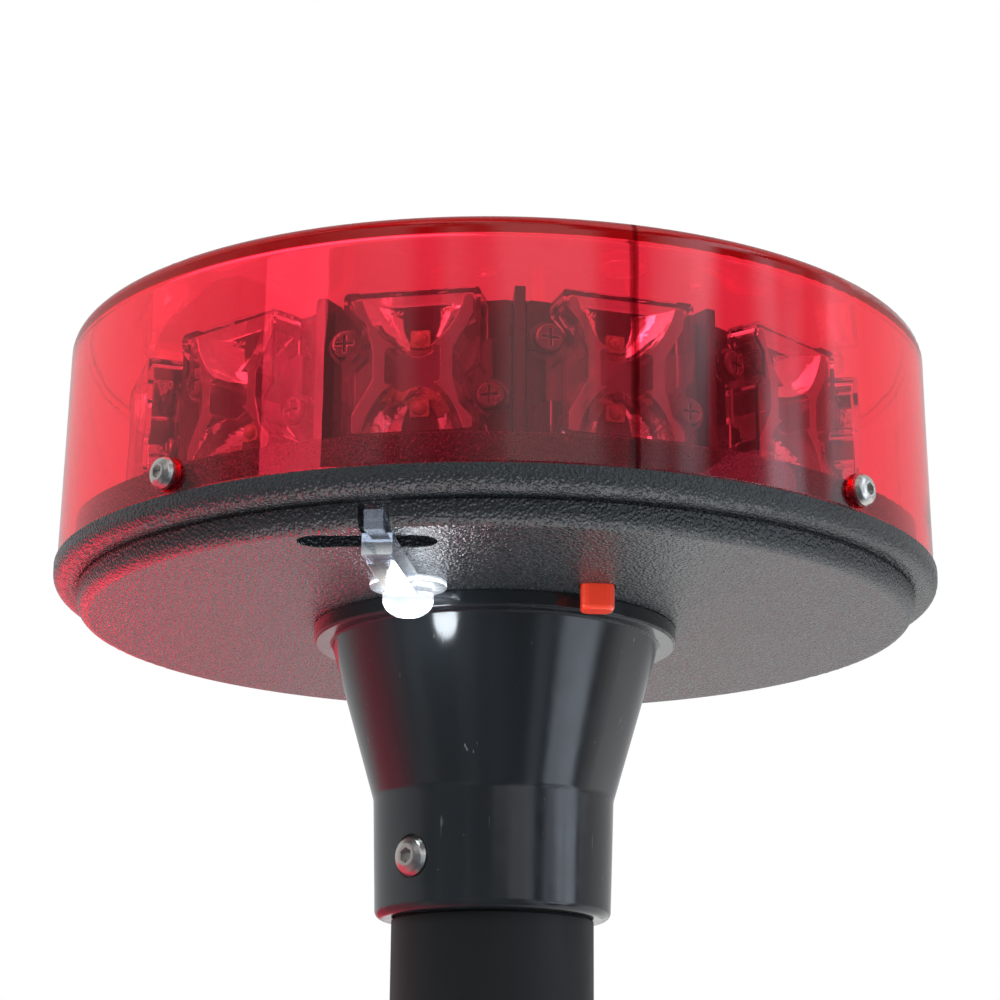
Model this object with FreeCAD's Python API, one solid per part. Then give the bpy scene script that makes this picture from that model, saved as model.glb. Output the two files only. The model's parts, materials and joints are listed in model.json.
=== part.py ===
"""Hand-held traffic baton light: a round red lamp head on a tube handle that holds the cells.

Millimetres, +Z up. Everything is drawn with Z = 0 in the parting plane, where the red lens
meets the black base pan, and is lifted at the end so that the row frame starts at the foot:
the centre of the end cap's flat face. -Y is the front. An azimuth is counted from -Y towards +X.
"""
import FreeCAD, Part
import math
import os

Vector = FreeCAD.Vector
UP = Vector(0, 0, 1)
RIGHT = Vector(1, 0, 0)
CENTRE = Vector(0, 0, 0)

# ---- driving dimensions -------------------------------------------------------------------
LENS_FOOT_R = 84.2
LENS_TOP_R = 83.5
LENS_HEIGHT = 43.9
LENS_WALL = 2.6
LENS_CORNER = 2.6
BASE_RIM_R = 84.8
BASE_RIM_HEIGHT = 4.6
DISH_R = 80.4
DISH_DEPTH = 9.2
FLOOR = 2.4
SPIGOT_HEIGHT = 6.0

COLLAR_FLANGE_R = 34.9
COLLAR_FLANGE_THICK = 3.1
CONE_TOP_R = 31.5
SLEEVE_R = 22.8
SLEEVE_FOOT_R = 22.15
CONE_FOOT_Z = -42.4
SLEEVE_FOOT_Z = -64.8

TUBE_R = 19.0
TUBE_WALL = 1.5
TUBE_SEAT_R = 18.6            # turned down where it enters the collar
TUBE_TOP_Z = -46.0
TUBE_LENGTH = 231.0

MODULE_COUNT = 12
MODULE_FLAT_R = 62.0          # outer flats of the twelve-sided carrier
MODULE_Z = 21.6               # middle height of the light modules
MODULE_HEIGHT = 26.0
MODULE_WIDTH = 31.2
EAR_X = 12.7                  # a module's two screws sit at (-x, +z) and (+x, -z)
EAR_Z = 5.3

LENS_SCREW_AZIMUTHS = (45, 135, 225, 315)
LENS_SCREW_Z = 3.6
CLAMP_SCREW_AZIMUTHS = (135, 315)
CLAMP_SCREW_Z = -55.0
CARRIER_COLUMN_R = 52.0
CARRIER_COLUMN_AZIMUTHS = (0, 60, 120, 180, 240, 300)
BOARD_COLUMN_R = 42.5
BOARD_COLUMN_AZIMUTHS = (0, 90, 180, 270)
FLANGE_SCREW_R = 25.0
FLANGE_SCREW_AZIMUTHS = (45, 135, 225, 315)

LAMP_R, LAMP_AZIMUTH = 41.9, -25.0        # white downlight, seen on the underside
GUIDE_TILT = 10.0                          # its light guide leans this far from the -Y direction
SLOT_R, SLOT_AZIMUTH, SLOT_TILT = 71.0, -20.9, 6.0
SLOT_LENGTH, SLOT_WIDTH = 23.8, 7.4
BUTTON_R, BUTTON_AZIMUTH = 41.0, 23.3

CELL_R = 16.6
CELL_LENGTH = 61.5
CELL_COUNT = 3

RUNNING = 0.05                # radial gap of a part that turns or slides
THREAD_GAP = 0.02             # radial gap between a screw and its tapped hole

# ---- sizes that follow --------------------------------------------------------------------
DISH_Z = -DISH_DEPTH
FLOOR_Z = DISH_Z + FLOOR
FLANGE_Z = DISH_Z - COLLAR_FLANGE_THICK
SPIGOT_R = LENS_FOOT_R - LENS_WALL - 0.5
BOARD_Z = 0.0
BOARD_THICK = 1.6
BOARD_R = 46.5
COLUMN_TOP_Z = 7.0
TUBE_BORE_R = TUBE_R - TUBE_WALL
TUBE_FOOT_Z = TUBE_TOP_Z - TUBE_LENGTH
PLUG_FOOT_Z = TUBE_TOP_Z - 18.0
CONTACT_THICK = 1.2
CELL_TOP_Z = PLUG_FOOT_Z - CONTACT_THICK
CELL_FOOT_Z = CELL_TOP_Z - CELL_COUNT * CELL_LENGTH
CAP_NECK = 14.0
CAP_HEIGHT = 12.0
CAP_FOOT_Z = TUBE_FOOT_Z - CAP_HEIGHT
PLATE_THICK = 1.6
PLATE_FRONT_R = MODULE_FLAT_R + PLATE_THICK
EAR_THICK = 1.4
COVER_FLANGE = 1.0
COVER_FRONT_R = 71.2
COVER_WALL = 0.9
REFLECTOR_FRONT_R = 70.0


# ---- building blocks ----------------------------------------------------------------------
def polar(radius, azimuth, z=0.0):
    angle = math.radians(azimuth)
    return Vector(radius * math.sin(angle), -radius * math.cos(angle), z)


def turned(shape, azimuth):
    """A copy of something built at the front (-Y), turned about the Z axis to its azimuth."""
    copy = shape.copy()
    copy.rotate(CENTRE, UP, azimuth)
    return copy


def moved(shape, x=0.0, y=0.0, z=0.0):
    copy = shape.copy()
    copy.translate(Vector(x, y, z))
    return copy


def cylinder(radius, z0, z1, x=0.0, y=0.0):
    return Part.makeCylinder(radius, z1 - z0, Vector(x, y, z0))


def ring(outer, inner, z0, z1):
    return cylinder(outer, z0, z1).cut(cylinder(inner, z0 - 1, z1 + 1))


def block(x0, x1, y0, y1, z0, z1):
    return Part.makeBox(x1 - x0, y1 - y0, z1 - z0, Vector(x0, y0, z0))


def forward_cylinder(radius, near, far, x=0.0, z=0.0):
    """A cylinder pointing out of the front, from radius near to radius far of the lamp."""
    return Part.makeCylinder(radius, far - near, Vector(x, -near, z), Vector(0, -1, 0))


def on_section(u, v):
    """The half plane that is turned about Z."""
    return Vector(u, 0, v)


def on_floor(u, v):
    return Vector(u, v, 0)


def rounded_wire(corners, lift):
    """A closed outline through (u, v) or (u, v, radius) corners; lift places it in space."""
    points = [Vector(c[0], c[1], 0) for c in corners]
    radii = [c[2] if len(c) > 2 else 0.0 for c in corners]
    starts, middles, ends = [], [], []
    for i, here in enumerate(points):
        back = (points[i - 1] - here).normalize()
        ahead = (points[(i + 1) % len(points)] - here).normalize()
        half = back.getAngle(ahead) / 2
        starts.append(here + back * (radii[i] / math.tan(half)))
        ends.append(here + ahead * (radii[i] / math.tan(half)))
        middles.append(here)
        if radii[i]:
            bisector = (back + ahead).normalize()
            middles[i] = here + bisector * (radii[i] / math.sin(half) - radii[i])
    edges = []
    for i in range(len(points)):
        start, middle, end = (lift(p.x, p.y) for p in (starts[i], middles[i], ends[i]))
        if radii[i]:
            edges.append(Part.Arc(start, middle, end).toShape())
        following = starts[(i + 1) % len(points)]
        target = lift(following.x, following.y)
        if (target - end).Length > 1e-6:
            edges.append(Part.makeLine(end, target))
    return Part.Wire(edges)


def lathe(corners):
    """A solid of revolution about Z from (radius, z[, corner radius]) corners."""
    return Part.Face(rounded_wire(corners, on_section)).revolve(CENTRE, UP, 360)


def plate(corners, z0, z1):
    face = Part.Face(rounded_wire(corners, on_floor))
    face.translate(Vector(0, 0, z0))
    return face.extrude(Vector(0, 0, z1 - z0))


def front_plate(corners, near, far):
    """An outline in (x, z) extruded out of the front from radius near to radius far."""
    face = Part.Face(rounded_wire(corners, lambda u, v: Vector(u, -near, v)))
    return face.extrude(Vector(0, near - far, 0))


def rectangle(width, height, corner=0.0, u=0.0, v=0.0):
    half_w, half_h = width / 2, height / 2
    return [(u - half_w, v - half_h, corner), (u + half_w, v - half_h, corner),
            (u + half_w, v + half_h, corner), (u - half_w, v + half_h, corner)]


def polygon_ring(flat_r, z0, z1):
    """A regular prism whose flats face the light modules."""
    corner_r = flat_r / math.cos(math.pi / MODULE_COUNT)
    corners = [polar(corner_r, i * 360 / MODULE_COUNT, z0) for i in range(MODULE_COUNT)]
    return Part.Face(Part.makePolygon(corners + corners[:1])).extrude(Vector(0, 0, z1 - z0))


def hexagon(across_flats, z0, z1):
    corner_r = across_flats / math.sqrt(3)
    corners = [polar(corner_r, i * 60, z0) for i in range(6)]
    return Part.Face(Part.makePolygon(corners + corners[:1])).extrude(Vector(0, 0, z1 - z0))


def union(shapes):
    return shapes[0].multiFuse(list(shapes[1:])).removeSplitter()


def group(shapes):
    """Separate solids that share one node."""
    return Part.makeCompound(list(shapes))


def module_azimuths():
    step = 360 / MODULE_COUNT
    return [step / 2 + i * step for i in range(MODULE_COUNT)]


def at_modules(shape):
    return [turned(shape, azimuth) for azimuth in module_azimuths()]


def bent_wire(points, bend, radius):
    """A round wire along straight runs, with the same bend radius at every corner."""
    edges = []
    end = points[0]
    for before, here, after in zip(points, points[1:], points[2:]):
        back = (before - here).normalize()
        ahead = (after - here).normalize()
        half = back.getAngle(ahead) / 2
        start, finish = here + back * (bend / math.tan(half)), here + ahead * (bend / math.tan(half))
        middle = here + (back + ahead).normalize() * (bend / math.sin(half) - bend)
        edges += [Part.makeLine(end, start), Part.Arc(start, middle, finish).toShape()]
        end = finish
    edges.append(Part.makeLine(end, points[-1]))
    profile = Part.Wire(Part.makeCircle(radius, points[0], points[1] - points[0]))
    return Part.Wire(edges).makePipeShell([profile], True, False)


def wound_wire(wire_r, foot_r, rise, turns, flare=0.0):
    """A coil spring that starts at foot_r and widens upwards by the flare angle."""
    helix = Part.makeHelix(rise / turns, rise, foot_r, flare)
    first = helix.Edges[0]
    start = first.valueAt(first.FirstParameter)
    profile = Part.Wire(Part.makeCircle(wire_r, start, first.tangentAt(first.FirstParameter)))
    return Part.Wire(helix.Edges).makePipeShell([profile], True, True)


# ---- screws (built with the head on top, the shank pointing down) ---------------------------
def shank(radius, length):
    return lathe([(0, 0), (radius, 0), (radius, 0.4 - length), (radius - 0.4, -length), (0, -length)])


def button_screw(size, length, head_r, head_height, socket):
    rim = head_height * 0.25
    crown = lathe([(0, 0), (head_r, 0), (head_r, rim, 0.1),
                   (head_r * 0.86, head_height * 0.72, 0.8), (head_r * 0.55, head_height, 1.0),
                   (0, head_height)])
    body = crown.fuse(shank(size / 2 - THREAD_GAP, length))
    return body.cut(hexagon(socket, head_height * 0.3, head_height + 1)).removeSplitter()


def pan_screw(size, length, head_r, head_height):
    head = lathe([(0, 0), (head_r, 0), (head_r, head_height, head_height * 0.55), (0, head_height)])
    body = head.fuse(shank(size / 2 - THREAD_GAP, length))
    arm, slot = head_r * 0.62, size * 0.11
    depth = head_height * 0.35
    for cross in (block(-arm, arm, -slot, slot, depth, head_height + 1),
                  block(-slot, slot, -arm, arm, depth, head_height + 1)):
        body = body.cut(cross)
    return body.removeSplitter()


def facing_out(shape, radius, z, x=0.0):
    """Lays an upright part down so that its top faces out of the front at the given radius."""
    copy = shape.copy()
    copy.rotate(CENTRE, RIGHT, 90)
    copy.translate(Vector(x, -radius, z))
    return copy


# ---- lens and base ------------------------------------------------------------------------
LENS_BOSS_R = 3.1
LENS_BOSS_FACE_R = LENS_FOOT_R + 0.9
GASKET_OUTER_R, GASKET_INNER_R, GASKET_THICK = 83.3, 82.0, 0.8
GUIDE_WIDTH = 5.2
NOTCH_WIDTH = 5.4
POCKET_ROOF_Z = -4.4


def lens_dome():
    inner_foot = LENS_FOOT_R - LENS_WALL
    inner_top = LENS_TOP_R - LENS_WALL
    inner_height = LENS_HEIGHT - LENS_WALL
    drum = lathe([(0, inner_height), (inner_top, inner_height, 1.6), (inner_foot, 0),
                  (LENS_FOOT_R, 0, 0.3), (LENS_TOP_R, LENS_HEIGHT, LENS_CORNER), (0, LENS_HEIGHT)])
    boss = forward_cylinder(LENS_BOSS_R, inner_foot + 1, LENS_BOSS_FACE_R, z=LENS_SCREW_Z)
    hole = forward_cylinder(1.7, inner_foot - 5, LENS_FOOT_R + 5, z=LENS_SCREW_Z)
    drum = union([drum] + [turned(boss, a) for a in LENS_SCREW_AZIMUTHS])
    for azimuth in LENS_SCREW_AZIMUTHS:
        drum = drum.cut(turned(hole, azimuth))
    return drum


def lens_gasket():
    return ring(GASKET_OUTER_R, GASKET_INNER_R, -GASKET_THICK, 0)


def lamp_frame(shape):
    """Places something drawn at the origin, reaching towards -Y, at the downlight."""
    copy = turned(shape, -GUIDE_TILT)
    copy.translate(polar(LAMP_R, LAMP_AZIMUTH))
    return copy


def slot_tool(z0, z1, grow=0.0):
    """The long oval opening on the underside, with pointed-arch ends."""
    half_l, half_w = SLOT_LENGTH / 2 + grow, SLOT_WIDTH / 2 + grow
    shoulder = half_l * 0.52
    ends = [Vector(shoulder, -half_w, z0), Vector(shoulder, half_w, z0),
            Vector(-shoulder, half_w, z0), Vector(-shoulder, -half_w, z0)]
    tips = [Vector(half_l, 0, z0), Vector(-half_l, 0, z0)]
    edges = [Part.Arc(ends[0], tips[0], ends[1]).toShape(), Part.makeLine(ends[1], ends[2]),
             Part.Arc(ends[2], tips[1], ends[3]).toShape(), Part.makeLine(ends[3], ends[0])]
    tool = Part.Face(Part.Wire(edges)).extrude(Vector(0, 0, z1 - z0))
    tool = turned(tool, -SLOT_TILT)
    tool.translate(polar(SLOT_R, SLOT_AZIMUTH))
    return tool


def button_outline(grow=0.0):
    return rectangle(6.0 + 2 * grow, 5.2 + 2 * grow, 1.6 + grow)


def at_button(shape):
    copy = shape.copy()
    copy.translate(polar(BUTTON_R, BUTTON_AZIMUTH))
    return copy


def base_shell():
    rim_foot = -BASE_RIM_HEIGHT
    groove_r = DISH_R - 0.5
    return lathe([
        (0, DISH_Z), (DISH_R - 0.6, DISH_Z, 2.4), (DISH_R, rim_foot - 0.5), (groove_r, rim_foot - 0.3),
        (groove_r, rim_foot + 0.1), (DISH_R + 0.6, rim_foot), (BASE_RIM_R, rim_foot, 2.6),
        (BASE_RIM_R, 0, 0.5), (GASKET_OUTER_R, 0), (GASKET_OUTER_R, -GASKET_THICK),
        (GASKET_INNER_R, -GASKET_THICK), (GASKET_INNER_R, 0), (SPIGOT_R, 0),
        (SPIGOT_R, SPIGOT_HEIGHT, 0.4), (SPIGOT_R - 2.5, SPIGOT_HEIGHT, 0.4),
        (SPIGOT_R - 2.5, FLOOR_Z, 1.2), (0, FLOOR_Z)])


def base_columns():
    columns = []
    for azimuth in CARRIER_COLUMN_AZIMUTHS:
        foot = polar(CARRIER_COLUMN_R, azimuth)
        columns.append(cylinder(4.0, FLOOR_Z - 1, COLUMN_TOP_Z, foot.x, foot.y))
    for azimuth in BOARD_COLUMN_AZIMUTHS:
        foot = polar(BOARD_COLUMN_R, azimuth)
        columns.append(cylinder(3.2, FLOOR_Z - 1, BOARD_Z, foot.x, foot.y))
    lens_boss = block(-4, 4, -SPIGOT_R + 2, -SPIGOT_R + 7.5, FLOOR_Z - 0.5, SPIGOT_HEIGHT - 0.5)
    columns += [turned(lens_boss, a) for a in LENS_SCREW_AZIMUTHS]
    return columns


def base_holes():
    holes = [cylinder(13.0, DISH_Z - 1, FLOOR_Z + 1)]
    for azimuth in CARRIER_COLUMN_AZIMUTHS:
        foot = polar(CARRIER_COLUMN_R, azimuth)
        holes.append(cylinder(1.5, COLUMN_TOP_Z - 9, COLUMN_TOP_Z + 1, foot.x, foot.y))
    for azimuth in BOARD_COLUMN_AZIMUTHS:
        foot = polar(BOARD_COLUMN_R, azimuth)
        holes.append(cylinder(1.5, FLOOR_Z + 0.5, BOARD_Z + 1, foot.x, foot.y))
    for azimuth in FLANGE_SCREW_AZIMUTHS:
        foot = polar(FLANGE_SCREW_R, azimuth)
        holes.append(cylinder(2.2, DISH_Z - 1, FLOOR_Z + 1, foot.x, foot.y))
    tapped = forward_cylinder(1.5, SPIGOT_R - 6, SPIGOT_R + 1, z=LENS_SCREW_Z)
    holes += [turned(tapped, a) for a in LENS_SCREW_AZIMUTHS]
    holes.append(lamp_frame(cylinder(4.7, DISH_Z - 1, FLOOR_Z + 1)))
    holes.append(at_button(plate(button_outline(0.3), DISH_Z - 1, FLOOR_Z + 1)))
    return holes


def underside_pocket():
    """The slot and the channel that runs from it out through the side of the dish."""
    slot = slot_tool(DISH_Z - 1, POCKET_ROOF_Z)
    channel = lamp_frame(block(-NOTCH_WIDTH / 2, NOTCH_WIDTH / 2, -46, -30, DISH_Z - 1, -5.0))
    return [slot, channel.common(cylinder(DISH_R + 0.2, DISH_Z - 1, 0))]


def base_pan():
    pocket_roof = slot_tool(FLOOR_Z - 1, POCKET_ROOF_Z + 2, grow=2.0)
    channel_roof = lamp_frame(block(-5, 5, -45, -30, FLOOR_Z - 1, POCKET_ROOF_Z + 2))
    inside = cylinder(SPIGOT_R - 1, DISH_Z, SPIGOT_HEIGHT)
    roofs = [pocket_roof.common(inside), channel_roof.common(inside)]
    pan = union([base_shell()] + base_columns() + roofs)
    for tool in base_holes() + underside_pocket():
        pan = pan.cut(tool)
    return pan.removeSplitter()


def lens_screws():
    screw = button_screw(3.0, 8.0, 2.85, 1.7, 2.0)
    screw = facing_out(screw, LENS_BOSS_FACE_R, LENS_SCREW_Z)
    return group(turned(screw, a) for a in LENS_SCREW_AZIMUTHS)


# ---- light modules ------------------------------------------------------------------------
MODULE_FOOT_Z = MODULE_Z - MODULE_HEIGHT / 2
MODULE_TOP_Z = MODULE_Z + MODULE_HEIGHT / 2
CARRIER_WALL = 2.0
FIN_R = 68.0
FIN_WIDTH = 1.8
FIN_TOP_Z = MODULE_TOP_Z + 1.6
HARNESS_HOLE_Z = 15.0


def module_carrier():
    wall = polygon_ring(MODULE_FLAT_R, COLUMN_TOP_Z, FIN_TOP_Z - 1.2)
    hollow = polygon_ring(MODULE_FLAT_R - CARRIER_WALL, COLUMN_TOP_Z + 2, FIN_TOP_Z)
    body = wall.cut(hollow).cut(cylinder(48.0, COLUMN_TOP_Z - 1, COLUMN_TOP_Z + 3))
    fin = block(-FIN_WIDTH / 2, FIN_WIDTH / 2, -FIN_R, -MODULE_FLAT_R, COLUMN_TOP_Z, FIN_TOP_Z)
    step = 360 / MODULE_COUNT
    body = union([body] + [turned(fin, i * step) for i in range(MODULE_COUNT)])
    for azimuth in CARRIER_COLUMN_AZIMUTHS:
        foot = polar(CARRIER_COLUMN_R, azimuth)
        body = body.cut(cylinder(1.7, COLUMN_TOP_Z - 1, COLUMN_TOP_Z + 3, foot.x, foot.y))
    near, far = MODULE_FLAT_R - 2 * CARRIER_WALL, MODULE_FLAT_R + 1
    wall_holes = [forward_cylinder(1.5, near, far, z=HARNESS_HOLE_Z)] + ear_holes(1.25, near, far)
    for hole in wall_holes:
        for copy in at_modules(hole):
            body = body.cut(copy)
    return body.removeSplitter()


def ear_holes(radius, near, far):
    return [forward_cylinder(radius, near, far, side * EAR_X, MODULE_Z - side * EAR_Z)
            for side in (-1, 1)]


def module_board():
    board = front_plate(rectangle(MODULE_WIDTH, MODULE_HEIGHT, 0.8, v=MODULE_Z),
                        MODULE_FLAT_R, PLATE_FRONT_R)
    for hole in ear_holes(1.3, MODULE_FLAT_R - 1, PLATE_FRONT_R + 1):
        board = board.cut(hole)
    return board


def ears(radius, near, far):
    """The two screw ears of a module, joined to its middle by a web."""
    pads = [forward_cylinder(radius, near, far, side * EAR_X, MODULE_Z - side * EAR_Z)
            for side in (-1, 1)]
    web = front_plate(rectangle(2 * EAR_X, 2 * EAR_Z, v=MODULE_Z), near, far)
    return pads + [web]


def paraboloid(apex, direction, focus, depth):
    """A solid bowl: r^2 = 4 * focus * height, opening along direction."""
    rows = 12
    points = [Vector(2 * math.sqrt(focus * depth) * i / rows, 0, depth * (i / rows) ** 2)
              for i in range(rows + 1)]
    curve = Part.BSplineCurve()
    curve.interpolate(points)
    rim = Part.makeLine(points[-1], Vector(0, 0, depth))
    axis = Part.makeLine(Vector(0, 0, depth), points[0])
    bowl = Part.Face(Part.Wire([curve.toShape(), rim, axis])).revolve(CENTRE, UP, 360)
    turn = FreeCAD.Rotation(UP, direction)
    bowl.Placement = FreeCAD.Placement(apex, turn)
    return bowl


BOWL_FOCUS = 2.0
BOWL_LEAN = 35.0              # degrees the two bowls lean outwards from the vertical
BOWL_SPREAD = 2.9             # their apexes' distance above and below the module's middle
BOWL_BACK_R = PLATE_FRONT_R + 1.6


def half_turn(corners):
    """The same corners turned half round the module's middle, to close a two-fold outline."""
    return [(-x, 2 * MODULE_Z - z, corner) for x, z, corner in corners]


def emitter_heights():
    return [MODULE_Z + side * (BOWL_SPREAD + 3.4) for side in (-1, 1)]


def reflector():
    half_w, half_h, waist_w = 10.4, MODULE_HEIGHT / 2 - 1.0, 6.9
    foot = MODULE_Z - half_h
    right_side = [(half_w, foot, 0.6), (half_w, foot + 2.0, 0.8), (8.2, foot + 4.4, 1.0),
                  (waist_w, MODULE_Z - 2.6, 1.5), (waist_w, MODULE_Z + 2.6, 1.5),
                  (half_w, MODULE_Z + half_h - 3.4, 1.5), (half_w, MODULE_Z + half_h, 0.6)]
    body = front_plate(right_side + half_turn(right_side), PLATE_FRONT_R, REFLECTOR_FRONT_R)
    body = union([body] + ears(3.2, PLATE_FRONT_R, PLATE_FRONT_R + EAR_THICK))
    lean = math.radians(BOWL_LEAN)
    for side in (-1, 1):
        apex = Vector(0, -BOWL_BACK_R, MODULE_Z + side * BOWL_SPREAD)
        aim = Vector(0, -math.sin(lean), side * math.cos(lean))
        body = body.cut(paraboloid(apex, aim, BOWL_FOCUS, 22))
    tools = [front_plate(rectangle(9.6, 6.6, 0.6, v=MODULE_Z - 0.2), REFLECTOR_FRONT_R - 4.4,
                         REFLECTOR_FRONT_R + 1)]
    tools += [front_plate(rectangle(3.8, 3.4, 0.4, v=z), PLATE_FRONT_R - 1, PLATE_FRONT_R + 2.4)
              for z in emitter_heights()]
    tools += ear_holes(1.3, PLATE_FRONT_R - 1, PLATE_FRONT_R + 3)
    for tool in tools:
        body = body.cut(tool)
    return body.removeSplitter()


def cover_outline(inset):
    """The clear cover's outline, pinched in beside its two screws."""
    half_w, half_h = 11.9 - inset, MODULE_HEIGHT / 2 - inset
    pinch_x, short, long = 9.7 - inset, 2.2 + inset * 0.4, 4.4 + inset * 0.4
    low = MODULE_Z - EAR_Z
    right_side = [(half_w, MODULE_Z - half_h, 1.0), (half_w, low - long, 1.0),
                  (pinch_x, low - short, 1.2), (pinch_x, low + short, 1.2),
                  (half_w, low + long, 1.0), (half_w, MODULE_Z + half_h, 1.0)]
    return right_side + half_turn(right_side)


def module_cover():
    flange_near = PLATE_FRONT_R + EAR_THICK
    flange_far = flange_near + COVER_FLANGE
    shell = front_plate(cover_outline(0), flange_near, COVER_FRONT_R)
    shell = union([shell] + ears(3.2, flange_near, flange_far))
    hollow = front_plate(cover_outline(COVER_WALL), flange_near - 1, COVER_FRONT_R - COVER_WALL)
    shell = shell.cut(hollow)
    for hole in ear_holes(1.3, flange_near - 1, flange_far + 1):
        shell = shell.cut(hole)
    return shell.removeSplitter()


def led_emitters():
    """Two emitters a module, each at the back of its bowl."""
    emitters = []
    for z in emitter_heights():
        base = front_plate(rectangle(3.4, 3.0, 0.3, v=z), PLATE_FRONT_R, PLATE_FRONT_R + 1.0)
        dome = Part.makeSphere(1.25, Vector(0, -PLATE_FRONT_R - 0.9, z))
        dome = dome.cut(block(-3, 3, -PLATE_FRONT_R, -PLATE_FRONT_R + 5, z - 3, z + 3))
        emitters.append(union([base, dome]))
    return emitters


def module_screws():
    screw = pan_screw(2.5, 6.0, 2.6, 1.5)
    radius = PLATE_FRONT_R + EAR_THICK + COVER_FLANGE
    pair = [facing_out(screw, radius, MODULE_Z - side * EAR_Z, side * EAR_X) for side in (-1, 1)]
    return group(s for one in pair for s in at_modules(one))


def module_wires():
    """One twin lead a module, from the hole in the carrier down to the control board."""
    leads = []
    inner = MODULE_FLAT_R - CARRIER_WALL
    for shift in (-0.75, 0.75):
        path = [Vector(shift, -inner - 1.6, HARNESS_HOLE_Z), Vector(shift, -inner + 7, HARNESS_HOLE_Z),
                Vector(shift, -43.0, BOARD_THICK + 8), Vector(shift, -43.0, BOARD_THICK)]
        leads.append(bent_wire(path, 3.0, 0.6))
    return group(s for one in leads for s in at_modules(one))


def carrier_screws():
    screw = pan_screw(3.0, 8.0, 2.8, 1.8)
    return group(moved(screw, p.x, p.y, COLUMN_TOP_Z + 2) for p in
                 (polar(CARRIER_COLUMN_R, a) for a in CARRIER_COLUMN_AZIMUTHS))


# ---- electronics --------------------------------------------------------------------------
def control_board():
    board = ring(BOARD_R, 9.0, BOARD_Z, BOARD_Z + BOARD_THICK)
    for azimuth in BOARD_COLUMN_AZIMUTHS:
        foot = polar(BOARD_COLUMN_R, azimuth)
        board = board.cut(cylinder(1.7, BOARD_Z - 1, BOARD_Z + 3, foot.x, foot.y))
    return board


def board_screws():
    screw = pan_screw(3.0, 7.0, 2.8, 1.8)
    return group(moved(screw, p.x, p.y, BOARD_Z + BOARD_THICK) for p in
                 (polar(BOARD_COLUMN_R, a) for a in BOARD_COLUMN_AZIMUTHS))


def on_board(shape, radius, azimuth):
    spot = polar(radius, azimuth, BOARD_Z + BOARD_THICK)
    return moved(turned(shape, azimuth), spot.x, spot.y, spot.z)


def driver_chips():
    """Small-outline chips: a black body with a row of legs on both sides."""
    chips = []
    for radius, azimuth, legs in ((24, 20, 8), (24, 150, 4), (31, 215, 4), (26, 285, 4)):
        length = legs * 1.27 + 1.0
        parts = [block(-2, 2, -length / 2, length / 2, 0.15, 1.75)]
        for i in range(legs):
            y = (i - (legs - 1) / 2) * 1.27
            parts.append(block(-3, 3, y - 0.2, y + 0.2, 0, 0.4))
        chips.append(on_board(union(parts), radius, azimuth))
    return group(chips)


def power_inductor():
    body = plate(rectangle(12, 12, 2.5), 0, 6)
    return on_board(body, 24, 245)


def capacitors():
    can = lathe([(0, 0), (5, 0), (5, 1.6), (4.7, 2.0), (5, 2.4), (5, 12.5, 0.5), (4.2, 12.5),
                 (4.0, 12.2), (0, 12.2)])
    return group(on_board(can, 27, azimuth) for azimuth in (75, 105))


def tactile_switch():
    housing = plate(rectangle(4.5, 4.5, 0.2), BOARD_Z - 3.4, BOARD_Z)
    plunger = cylinder(1.1, BOARD_Z - 4.2, BOARD_Z - 3.4)
    return at_button(union([housing, plunger]))


BUTTON_FACE_Z = -13.7
BUTTON_FLANGE_R = 4.5


def button_cap():
    skirt = plate(button_outline(0), BUTTON_FACE_Z, FLOOR_Z + 0.4)
    crown = [e for e in skirt.Edges if abs(e.BoundBox.ZMin - e.BoundBox.ZMax) < 1e-6
             and abs(e.BoundBox.ZMin - BUTTON_FACE_Z) < 1e-6]
    skirt = skirt.makeFillet(0.7, crown)
    flange = cylinder(BUTTON_FLANGE_R, FLOOR_Z + 0.05, FLOOR_Z + 1.0)
    return at_button(union([skirt, flange]))


def button_spring():
    """Open coil between the button's flange and the underside of the board."""
    wire_r = 0.25
    foot, top = FLOOR_Z + 1.05 + wire_r, BOARD_Z - wire_r - 0.1
    return at_button(moved(wound_wire(wire_r, 3.85, top - foot, 3.25), z=foot))


def downlight_led():
    """A round lamp soldered under the board, pointing down into its clear lens."""
    body = lathe([(0, BOARD_Z), (2.9, BOARD_Z), (2.9, BOARD_Z - 1), (2.5, BOARD_Z - 1),
                  (2.5, -7.6, 2.4), (0, -7.6)])
    return lamp_frame(body)


LAMP_LENS_R = 4.6
LAMP_FLANGE_R = 6.9
LAMP_FOOT_Z = -15.4


def downlight_lens():
    flange_z = DISH_Z - 1.1
    shell = lathe([(0, LAMP_FOOT_Z), (LAMP_LENS_R, LAMP_FOOT_Z, 3.2), (LAMP_LENS_R, flange_z),
                   (LAMP_FLANGE_R, flange_z, 0.3), (LAMP_FLANGE_R, DISH_Z), (LAMP_LENS_R, DISH_Z),
                   (LAMP_LENS_R, FLOOR_Z), (2.6, FLOOR_Z), (2.6, -8.6, 1.6), (0, -8.6)])
    return lamp_frame(shell)


GUIDE_FOOT_Z = -13.0


def light_guide():
    """The clear bar on the underside: it starts at the downlight and ends in the rim's channel."""
    half = GUIDE_WIDTH / 2
    bar = block(-half, half, -34.6, -LAMP_LENS_R - 0.8, GUIDE_FOOT_Z, DISH_Z)
    bevel = front_plate([(half - 1.2, GUIDE_FOOT_Z - 1), (half + 1, GUIDE_FOOT_Z - 1),
                         (half + 1, GUIDE_FOOT_Z + 1.2)], 0, 60)
    bar = bar.cut(bevel).cut(cylinder(LAMP_FLANGE_R + 0.05, DISH_Z - 1.15, DISH_Z + 1))
    tongue = block(-half + 1, half - 1, -38.6, -28.0, DISH_Z - 0.4, -6.2)
    return lamp_frame(union([bar, tongue]))


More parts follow.
